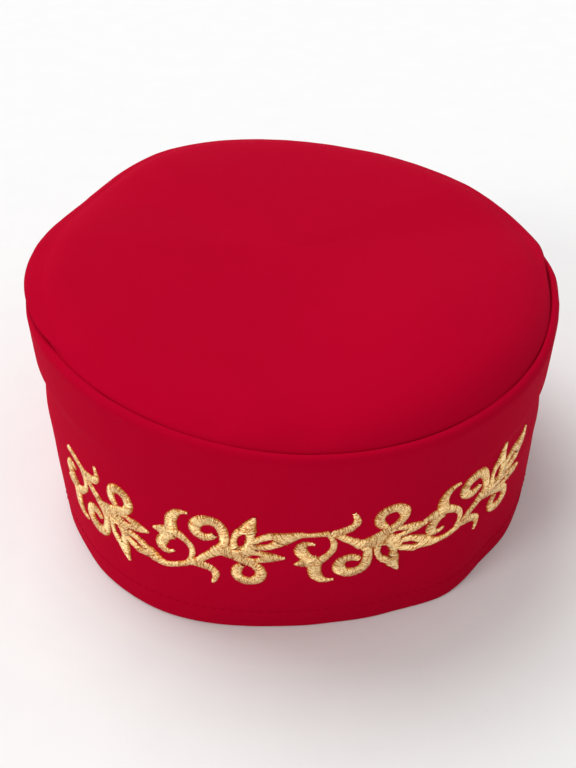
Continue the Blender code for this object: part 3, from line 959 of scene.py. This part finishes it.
def smooth_route(rows):
    """Rows in small steps along the curve, every number of a row smoothed alike."""
    rows = [tuple(2 * a - b for a, b in zip(rows[0], rows[1]))] + rows
    rows = rows + [tuple(2 * a - b for a, b in zip(rows[-1], rows[-2]))]
    route = []
    for a, b, c, d in zip(rows, rows[1:], rows[2:], rows[3:]):
        steps = max(1, round(math.hypot(c[0] - b[0], c[1] - b[1]) / CHART_STEP))
        for i in range(steps):
            t = i / steps
            route.append(tuple(
                0.5 * (2 * b[k] + (c[k] - a[k]) * t + (2 * a[k] - 5 * b[k] + 4 * c[k] - d[k]) * t ** 2
                       + (3 * b[k] - a[k] - 3 * c[k] + d[k]) * t ** 3)
                for k in range(len(b))))
    return route + [rows[-2]]


def strips(rows):
    """Lists of (along, up, width): one for each unbroken run of stitches in a column."""
    route = smooth_route([row + (0.0, 0.0) if len(row) == 3 else row for row in rows])
    whole, left, right, runs = [], [], [], []
    for i, (along, up, width, offset, eye) in enumerate(route):
        before, after = route[max(i - 1, 0)], route[min(i + 1, len(route) - 1)]
        ahead = Vector((after[0] - before[0], after[1] - before[1])).normalized()
        side = Vector((-ahead.y, ahead.x))
        spot = Vector((along, up))
        halves = ((left, offset + eye / 2, width / 2), (right, -width / 2, offset - eye / 2))
        if eye > EYE_OPEN or left:
            for strip, low, high in halves:
                centre = spot + side * (low + high) / 2
                strip.append((centre.x, centre.y, high - low))
        if eye > EYE_OPEN:
            if whole:
                runs.append(whole + [(along, up, width)])
                whole = []
        else:
            runs += [strip for strip in (left, right) if len(strip) > 1]
            left, right = [], []
            whole.append((along, up, max(width, NARROWEST)))
    runs += [strip for strip in (left, right, whole) if len(strip) > 1]
    return runs


def unit_strips(number):
    return [(strip, lift, slant) for rows, lift, slant in columns(number) for strip in strips(rows)]


print("a unit splits into", len(unit_strips(2)), "strips of stitches")

# %% [markdown]
# Distances along the band are turned into angles by walking along it in small steps, at the height
# of the vine. Then any spot of the chart has a place on the cloth, and a direction away from it.

# %% Wrap the chart round the band
VINE_HEIGHT = 0.0366
WALK_LENGTH = 0.12
WALK_STEP = math.radians(0.25)


def walk_the_front():
    pairs = []
    for side in (-1, 1):
        angle, along = FRONT, 0.0
        while abs(along) < WALK_LENGTH:
            pairs.append((along, angle))
            ahead = angle + side * WALK_STEP
            here, there = [place(a, smooth_wall(a, VINE_HEIGHT), 0) for a in (angle, ahead)]
            along += side * (there - here).length
            angle = ahead
    return sorted(set(pairs))


FRONT_WALK = walk_the_front()


def angle_at(along):
    share = (along - FRONT_WALK[0][0]) / (FRONT_WALK[-1][0] - FRONT_WALK[0][0])
    index = min(len(FRONT_WALK) - 2, max(0, int(share * (len(FRONT_WALK) - 1))))
    while FRONT_WALK[index][0] > along:
        index -= 1
    while FRONT_WALK[index + 1][0] < along:
        index += 1
    (s0, a0), (s1, a1) = FRONT_WALK[index:index + 2]
    return a0 + (a1 - a0) * (along - s0) / (s1 - s0)


def chart_spot(placing, along, up):
    """Angle and height on the band of a spot of the chart, given in millimetres."""
    start, stretch, lean, middle, slope, stretch_up, bow_along, bow_up, way_up = placing
    along, up = along * MM, up * MM * way_up
    share = along / VINE_UNIT_LENGTH
    bow = 4 * share * (1 - share)
    distance = start + stretch * along + lean * up + bow * bow_along
    return angle_at(distance), middle + slope * along + stretch_up * up + bow * bow_up


def on_cloth(angle, height):
    return place(angle, wall_radius(angle, height), height)


print("the front is walked over", round(FRONT_WALK[-1][0] * 1000), "mm to each side")

# %% [markdown]
# ## Satin stitches
#
# Satin stitch lays one thread beside the next across the whole width of a column. Padding under
# the threads makes the middle of a wide column stand higher than its edges, which is where the
# glitter comes from. One arched thread could be an instance scaled to each width, but scaling
# would flatten the thread too. So the tree places bare lines, makes them real, arches them with
# Set Position and only then gives them a round section. Every thread gets a random shade.

# %% Satin tree
THREAD_SPACING = 0.00031
THREAD_RADIUS = 0.00017
THREAD_SEED = 7
THREAD_POINTS = 8
THREAD_CORNERS = 5
# Every thread differs a little: limits of its lean in radians, its length and its lift in metres
THREAD_LEAN = (-0.10, 0.10)
THREAD_RAGGED = (-0.00036, 0.00006)
THREAD_LOOSE = (-0.00007, 0.00006)
# The higher these powers, the flatter the middle of the arch and the shorter the ends with painted shade
ARCH_POWER = 2.6
END_POWER = 7.0
END_DIP = 0.00022


def random_value(tree, limits, seed):
    """A random number between two limits, another one for each thread."""
    node = tree.nodes.new("FunctionNodeRandomValue")
    node.data_type = "FLOAT"
    for socket, limit in zip([s for s in node.inputs if s.type == "VALUE"], limits):
        socket.default_value = limit
    wire(tree, node, {"Seed": seed})
    return [s for s in node.outputs if s.type == "VALUE"][0]


def store(tree, geometry, name, value, domain):
    """Writes a number on each thread or point, for the gold material to read."""
    node = tree.nodes.new("GeometryNodeStoreNamedAttribute")
    node.data_type = "FLOAT"
    node.domain = domain
    wire(tree, node, {"Geometry": geometry, "Name": name, "Value": value})
    return node.outputs["Geometry"]


def bare_lines(tree, source):
    """One line across the column at every step, with its own lean and length."""
    line = add_node(tree, "GeometryNodeCurvePrimitiveLine", {"Start": (-0.5, 0, 0), "End": (0.5, 0, 0)})
    fine = add_node(tree, "GeometryNodeResampleCurve",
                    {"Curve": line.outputs["Curve"], "Count": THREAD_POINTS})
    angle = math_node(tree, "ADD", named_attribute(tree, "slant"),
                      random_value(tree, THREAD_LEAN, THREAD_SEED))
    lean = add_node(tree, "FunctionNodeAxisAngleToRotation", {"Axis": (0, 0, 1), "Angle": angle})
    turn = tree.nodes.new("FunctionNodeRotateRotation")
    turn.rotation_space = "LOCAL"
    wire(tree, turn, {"Rotation": away_from_cloth(tree, "Y"), "Rotate By": lean.outputs["Rotation"]})
    width = math_node(tree, "ADD", named_attribute(tree, "width"),
                      random_value(tree, THREAD_RAGGED, THREAD_SEED + 1))
    scale = add_node(tree, "ShaderNodeCombineXYZ", {"X": width, "Y": 1, "Z": 1})
    lay = add_node(tree, "GeometryNodeInstanceOnPoints", {
        "Points": even_steps(tree, source, "Thread spacing"),
        "Instance": fine.outputs["Curve"],
        "Rotation": turn.outputs["Rotation"],
        "Scale": scale.outputs[0],
    })
    shade = random_value(tree, (0.0, 1.0), THREAD_SEED + 2)
    shaded = store(tree, lay.outputs["Instances"], "shade", shade, "INSTANCE")
    return add_node(tree, "GeometryNodeRealizeInstances", {"Geometry": shaded}).outputs["Geometry"]


def satin_tree():
    tree, source, sink = new_geometry_tree(
        "Satin stitches",
        [("Thread spacing", THREAD_SPACING), ("Thread radius", THREAD_RADIUS)],
    )
    lines = bare_lines(tree, source)
    share = tree.nodes.new("GeometryNodeSplineParameter").outputs["Factor"]
    side = math_node(tree, "ABSOLUTE", math_node(tree, "MULTIPLY_ADD", share, 2.0, -1.0))
    flank = math_node(tree, "POWER", side, ARCH_POWER)
    arch = math_node(tree, "SUBTRACT", 1.0, flank)
    height = math_node(tree, "MULTIPLY", arch, named_attribute(tree, "rise"))
    over = math_node(tree, "SUBTRACT", height, math_node(tree, "MULTIPLY", flank, END_DIP))
    over = math_node(tree, "ADD", over, random_value(tree, THREAD_LOOSE, THREAD_SEED + 3))
    over = math_node(tree, "ADD", over, named_attribute(tree, "lift"))
    push = tree.nodes.new("ShaderNodeVectorMath")
    push.operation = "SCALE"
    wire(tree, push, {0: named_attribute(tree, "out", "FLOAT_VECTOR"), "Scale": over})
    move = add_node(tree, "GeometryNodeSetPosition", {"Geometry": lines, "Offset": push.outputs[0]})
    # How near the end of its thread a point is; the gold material paints shade there
    end = math_node(tree, "POWER", side, END_POWER)
    arched = store(tree, move.outputs["Geometry"], "end", end, "POINT")
    return finish_tree(tree, source, sink, round_thread(tree, source, arched, THREAD_CORNERS))


satin = satin_tree()
print("satin tree has", len(satin.nodes), "nodes")

# %% [markdown]
# ## Gold thread
#
# Gold embroidery thread is a thin metal foil wound round a core. It is metallic, but its many
# small facets blur what it reflects. Random shade per thread, plus fine noise for the winding,
# gives the glitter that a single gold colour would miss. The ends of each thread are painted
# darker, as painted shade where they dip into the cloth. The padding below is coloured a dark,
# dull gold as painted shade, so that the small gaps between threads look deep rather than bare.

# %% Gold materials
GOLD_PALE = (1.000, 0.760, 0.390, 1)
GOLD_DEEP = (0.520, 0.185, 0.025, 1)
# The padding mixes the deep gold with this darker tone: painted shade for the gaps between the threads
PADDING_PAINTED_SHADE = (0.240, 0.060, 0.010, 1)
# What makes a spot of a thread paler: facets of the foil, the thread's own shade, broad patches
FACET_TONE = 3.8
SHADE_TONE = 1.0
PATCH_TONE = 0.3
# What makes it deeper: the same for all threads, and painted shade at their ends, which lie in shadow
DEEPER = 1.82
END_PAINTED_SHADE = 1.3
PATCH_GRAIN = 180
# Roughness: the lowest, and how much the facets add
FOIL_ROUGHNESS = (0.20, 0.24)
# Strength and height of the winding
GOLD_BUMP = (0.8, 0.00008)
THREAD_METAL = 0.92
PADDING_METAL = 0.3


def foil_group():
    group, source, sink = new_group(
        "Wound foil",
        [("Place", "NodeSocketVector", None), ("Shade", "NodeSocketFloat", 0.5),
         ("End", "NodeSocketFloat", 0.0), ("Winding", "NodeSocketFloat", 1900.0)],
        [("Height", "NodeSocketFloat"), ("Tone", "NodeSocketFloat"), ("Roughness", "NodeSocketFloat")],
    )
    given = source.outputs
    facets = add_node(group, "ShaderNodeTexNoise",
                      {"Vector": given["Place"], "Scale": given["Winding"], "Detail": 2}).outputs["Fac"]
    patches = add_node(group, "ShaderNodeTexNoise",
                       {"Vector": given["Place"], "Scale": PATCH_GRAIN}).outputs["Fac"]
    tone = blend(group, [(facets, FACET_TONE), (given["Shade"], SHADE_TONE), (patches, PATCH_TONE)])
    tone = math_node(group, "SUBTRACT", tone, DEEPER)
    # Painted shade at the ends of the threads
    tone = math_node(group, "SUBTRACT", tone, math_node(group, "MULTIPLY", given["End"], END_PAINTED_SHADE))
    rough = math_node(group, "MULTIPLY", facets, FOIL_ROUGHNESS[1])
    rough = math_node(group, "ADD", rough, FOIL_ROUGHNESS[0])
    wire(group, sink, {"Height": facets, "Tone": tone, "Roughness": rough})
    return group


foil = foil_group()


def gold_material(name, pale, deep, metal):
    material, tree, shader = new_material(name, {"Metallic": metal})
    wound = tree.nodes.new("ShaderNodeGroup")
    wound.node_tree = foil
    wire(tree, wound, {"Place": tree.nodes.new("ShaderNodeTexCoord").outputs["Object"]})
    for label, attribute in (("Shade", "shade"), ("End", "end")):
        stored = tree.nodes.new("ShaderNodeAttribute")
        stored.attribute_name = attribute
        wire(tree, wound, {label: stored.outputs["Fac"]})
    two_tones(tree, shader, wound.outputs["Tone"], deep, pale)
    wire(tree, shader, {"Roughness": wound.outputs["Roughness"]})
    add_bumps(tree, shader, wound.outputs["Height"], *GOLD_BUMP)
    return material


gold_thread = gold_material("gold_thread_foil", GOLD_PALE, GOLD_DEEP, THREAD_METAL)
# The padding's dark colour is painted shade in the gaps between the threads
gold_padding_painted_shade = gold_material("gold_padding_painted_shade", GOLD_DEEP, PADDING_PAINTED_SHADE, PADDING_METAL)
print("gold materials:", gold_thread.name, gold_padding_painted_shade.name)

# %% [markdown]
# ## Lay the padding and the threads
#
# The padding is made first: a low closed ridge along every strip, whose underside is sunk into the
# cloth. Then the same strips become guides for the satin tree. Narrow columns stay low and wide
# ones rise higher, up to most of a millimetre.

# %% Embroider the four units
FULL_RISE = 0.00062
RISE_WIDTH = 2.4
# The threads run a little past the padding on each side
EDGE_RUN = 0.00020
# The chart is drawn this much too high for the band
VINE_DROP = 0.0008
# Height in millimetres and slant of the joints between the units
JOINT_SEWING = (0.10, 0.50)
# The padding: its share of the column's width, and how deep its edges and its underside are sunk
PAD_SHARE = 0.88
PAD_EDGE_SUNK = 0.0002
PAD_SUNK = 0.0007
PAD_SECTION = [(-1.0, 0.0), (-0.72, 0.52), (0.0, 0.84), (0.72, 0.52), (1.0, 0.0)]


def rise_for(width):
    return FULL_RISE * (1 - math.exp(-width / RISE_WIDTH))


def strip_on_band(placing, strip):
    """Points on the cloth, directions away from it and widths in metres along one strip."""
    if placing:
        spots = [chart_spot(placing, along, up) for along, up, _ in strip]
    else:
        spots = [(angle_at(along * MM), height * MM) for along, height, _ in strip]
    spots = [(angle, height - VINE_DROP) for angle, height in spots]
    points = [on_cloth(angle, height) for angle, height in spots]
    outs = [surface_out(angle, height) for angle, height in spots]
    return points, outs, [width * MM for _, _, width in strip]


def add_ridge(mesh, points, outs, widths, lift):
    rings = []
    for i, (point, out, width) in enumerate(zip(points, outs, widths)):
        ahead = points[min(i + 1, len(points) - 1)] - points[max(i - 1, 0)]
        side = out.cross(ahead).normalized() * (width / 2) * PAD_SHARE
        rise = rise_for(width / MM)
        ring = [mesh.verts.new(point + side * x + out * (lift + rise * y - PAD_EDGE_SUNK * (y == 0)))
                for x, y in PAD_SECTION]
        ring.append(mesh.verts.new(point - out * PAD_SUNK))
        rings.append(ring)
    for low, high in zip(rings, rings[1:]):
        for k in range(len(low)):
            n = (k + 1) % len(low)
            mesh.faces.new((low[k], low[n], high[n], high[k]))
    mesh.faces.new(rings[0])
    mesh.faces.new(list(reversed(rings[-1])))


def embroider(number, placing):
    mesh = bmesh.new()
    lines = []
    guide_values = {"out": [], "width": [], "rise": [], "lift": [], "slant": []}
    pieces = [(placing, *row) for row in unit_strips(number)]
    if number <= len(JOINTS):
        pieces += [(None, strip, *JOINT_SEWING) for strip in strips(JOINTS[number - 1])]
    for laid_by, strip, lift, slant in pieces:
        points, outs, widths = strip_on_band(laid_by, strip)
        add_ridge(mesh, points, outs, widths, lift * MM)
        lines.append((points, False))
        guide_values["out"] += outs
        guide_values["width"] += [(w + EDGE_RUN) / math.cos(slant) for w in widths]
        guide_values["rise"] += [rise_for(w / MM) for w in widths]
        guide_values["lift"] += [lift * MM] * len(points)
        guide_values["slant"] += [slant * placing[-1]] * len(points)
    padding = smooth_piece(f"vine_padding_{number}", mesh)
    padding.data.materials.append(gold_padding_painted_shade)
    guide = guide_mesh(f"vine_guide_{number}", lines, guide_values)
    threads = grow(guide, satin, gold_thread, f"vine_threads_{number}")
    threads.data.shade_smooth()
    return padding, threads


embroidery = [embroider(number, placing) for number, placing in enumerate(VINE_UNITS, 1)]
for padding, threads in embroidery:
    print(threads.name, len(threads.data.polygons), "faces;", padding.name, len(padding.data.polygons))

# %% [markdown]
# ## Hand the pieces to the frame
#
# Every piece rides on the cap's one body and replaces the solid that it dresses. The solids stay
# in the frame for collision, but they are no longer drawn.

# %% Attach the pieces
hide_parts("side_band")
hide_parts("crown")
for number, (padding, threads) in enumerate(embroidery, 1):
    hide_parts(f"vine_unit_{number}")
    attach(threads, "root")
    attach(padding, "root")
for piece in (band, crown, hem_stitches):
    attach(piece, "root")
print("pieces:", 3 + 2 * len(embroidery))
